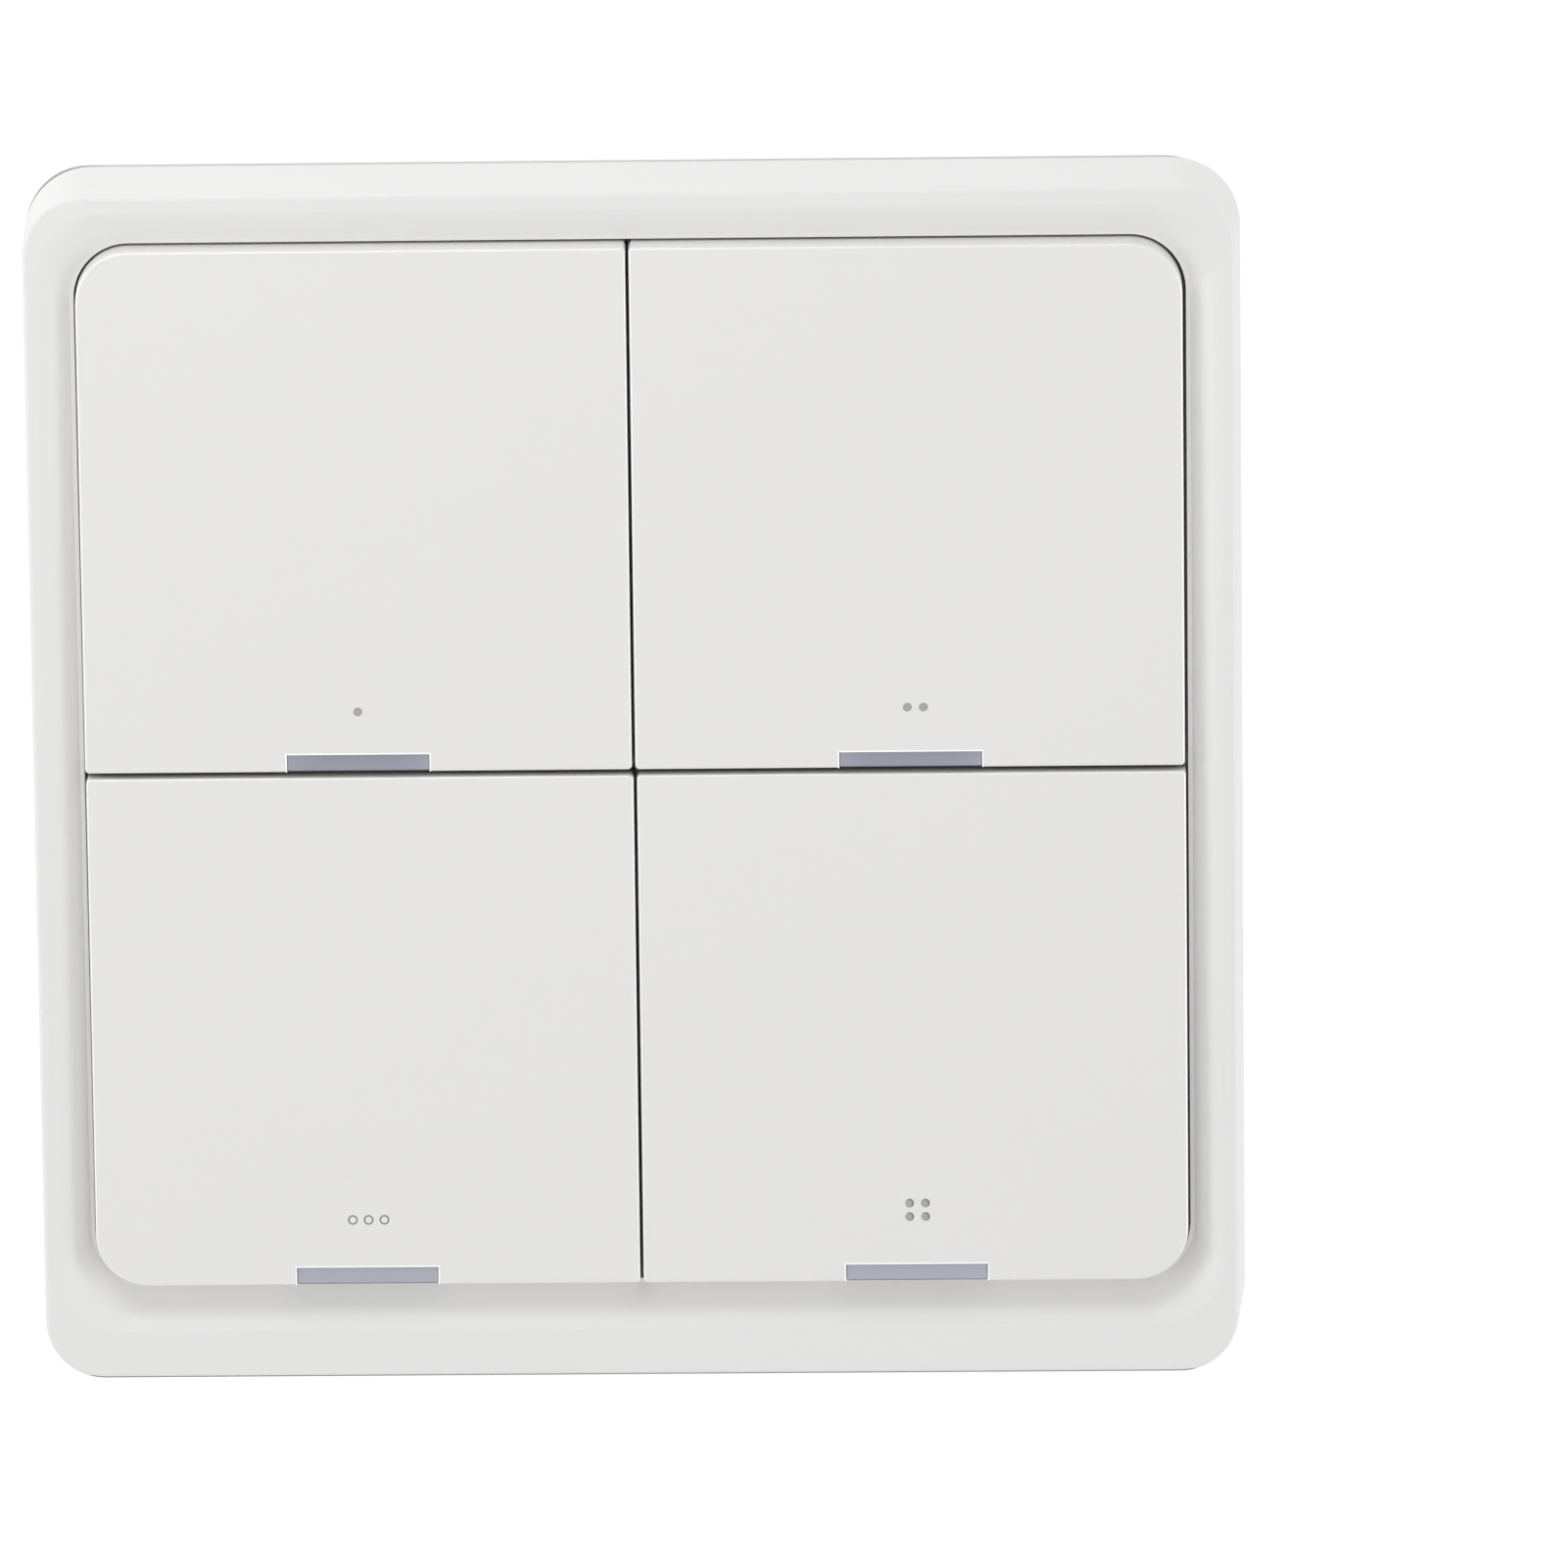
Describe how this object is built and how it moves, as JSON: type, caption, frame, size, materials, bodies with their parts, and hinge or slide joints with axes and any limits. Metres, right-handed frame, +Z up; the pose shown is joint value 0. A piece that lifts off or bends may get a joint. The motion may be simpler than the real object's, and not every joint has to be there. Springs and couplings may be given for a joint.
{
  "type": "wireless wall switch",
  "caption": "Square white wireless wall switch: large rocker keys with light windows in a dished frame with a wide lower rim, pulling off a flat wall plate.",
  "frame": {"origin": "centre of the flat back of the wall plate, on the wall", "axes": "+Y into the wall, +Z up the wall, +X to the right as seen from the front; keys face -Y"},
  "size_m": [0.086, 0.0125, 0.086],
  "materials": {
    "frame_white": "fine satin, white",
    "key_white": "fine satin, white",
    "window_smoke": "translucent blue-grey, smooth",
    "plate_white": "matt, white",
    "chassis_white": "matt, white",
    "cover_white": "matt, white",
    "foam_tape": "foam tape with a satin liner",
    "screw_steel": "zinc plated",
    "shield_steel": "tinned",
    "spring_steel": "nickel plated spring strip",
    "cell_steel": "plain can",
    "board_laminate": "solder mask",
    "led_resin": "clear resin",
    "ceramic": "sintered",
    "chip_epoxy": "moulded epoxy",
    "holder_black": "moulded, black",
    "plunger_white": "smooth"
  },
  "bodies": {
    "wall_mount": {"wall_plate": "plate_white", "adhesive_strip_left": "foam_tape", "adhesive_strip_right": "foam_tape"},
    "unit": {"frame": "frame_white", "chassis": "chassis_white", "rear_cover": "cover_white", "rear_cover_screws": "screw_steel", "circuit_board": "board_laminate", "indicator_leds": "led_resin", "radio_board": "board_laminate", "radio_shield": "shield_steel", "antenna": "ceramic", "controller_chip": "chip_epoxy", "crystal": "shield_steel", "capacitors": "ceramic", "battery_holder": "holder_black", "coin_cell": "cell_steel", "battery_contact_negative": "spring_steel", "battery_contact_positive": "spring_steel", "switch_body_1": "holder_black", "switch_body_2": "holder_black", "switch_body_3": "holder_black", "switch_body_4": "holder_black"},
    "key_1": {"key_cap_1": "key_white", "light_window_1": "window_smoke"},
    "plunger_1": {"switch_plunger_1": "plunger_white"},
    "key_2": {"key_cap_2": "key_white", "light_window_2": "window_smoke"},
    "plunger_2": {"switch_plunger_2": "plunger_white"},
    "key_3": {"key_cap_3": "key_white", "light_window_3": "window_smoke"},
    "plunger_3": {"switch_plunger_3": "plunger_white"},
    "key_4": {"key_cap_4": "key_white", "light_window_4": "window_smoke"},
    "plunger_4": {"switch_plunger_4": "plunger_white"}
  },
  "joints": [
    {"name": "unit_pull_off", "type": "slide", "parent": "wall_mount", "child": "unit", "axis": [0, -1, 0], "range_m": [0, 0.012]},
    {"name": "key_1_press", "type": "hinge", "parent": "unit", "child": "key_1", "pos_m": [0, -0.0094, 0.03532], "axis": [1, 0, 0], "range_deg": [0, 0.8], "stiffness_Nm_per_rad": 2.5},
    {"name": "plunger_1_slide", "type": "slide", "parent": "unit", "child": "plunger_1", "axis": [0, 1, 0], "range_m": [0, 0.0003]},
    {"name": "key_2_press", "type": "hinge", "parent": "unit", "child": "key_2", "pos_m": [0, -0.0094, 0.03532], "axis": [1, 0, 0], "range_deg": [0, 0.8], "stiffness_Nm_per_rad": 2.5},
    {"name": "plunger_2_slide", "type": "slide", "parent": "unit", "child": "plunger_2", "axis": [0, 1, 0], "range_m": [0, 0.0003]},
    {"name": "key_3_press", "type": "hinge", "parent": "unit", "child": "key_3", "pos_m": [0, -0.0094, -0.00205], "axis": [1, 0, 0], "range_deg": [0, 0.8], "stiffness_Nm_per_rad": 2.5},
    {"name": "plunger_3_slide", "type": "slide", "parent": "unit", "child": "plunger_3", "axis": [0, 1, 0], "range_m": [0, 0.0003]},
    {"name": "key_4_press", "type": "hinge", "parent": "unit", "child": "key_4", "pos_m": [0, -0.0094, -0.00205], "axis": [1, 0, 0], "range_deg": [0, 0.8], "stiffness_Nm_per_rad": 2.5},
    {"name": "plunger_4_slide", "type": "slide", "parent": "unit", "child": "plunger_4", "axis": [0, 1, 0], "range_m": [0, 0.0003]}
  ],
  "couplings": [
    {"joint": "plunger_1_slide", "follows": "key_1_press", "m_per_rad": 0.02},
    {"joint": "plunger_2_slide", "follows": "key_2_press", "m_per_rad": 0.02},
    {"joint": "plunger_3_slide", "follows": "key_3_press", "m_per_rad": 0.02},
    {"joint": "plunger_4_slide", "follows": "key_4_press", "m_per_rad": 0.02}
  ]
}
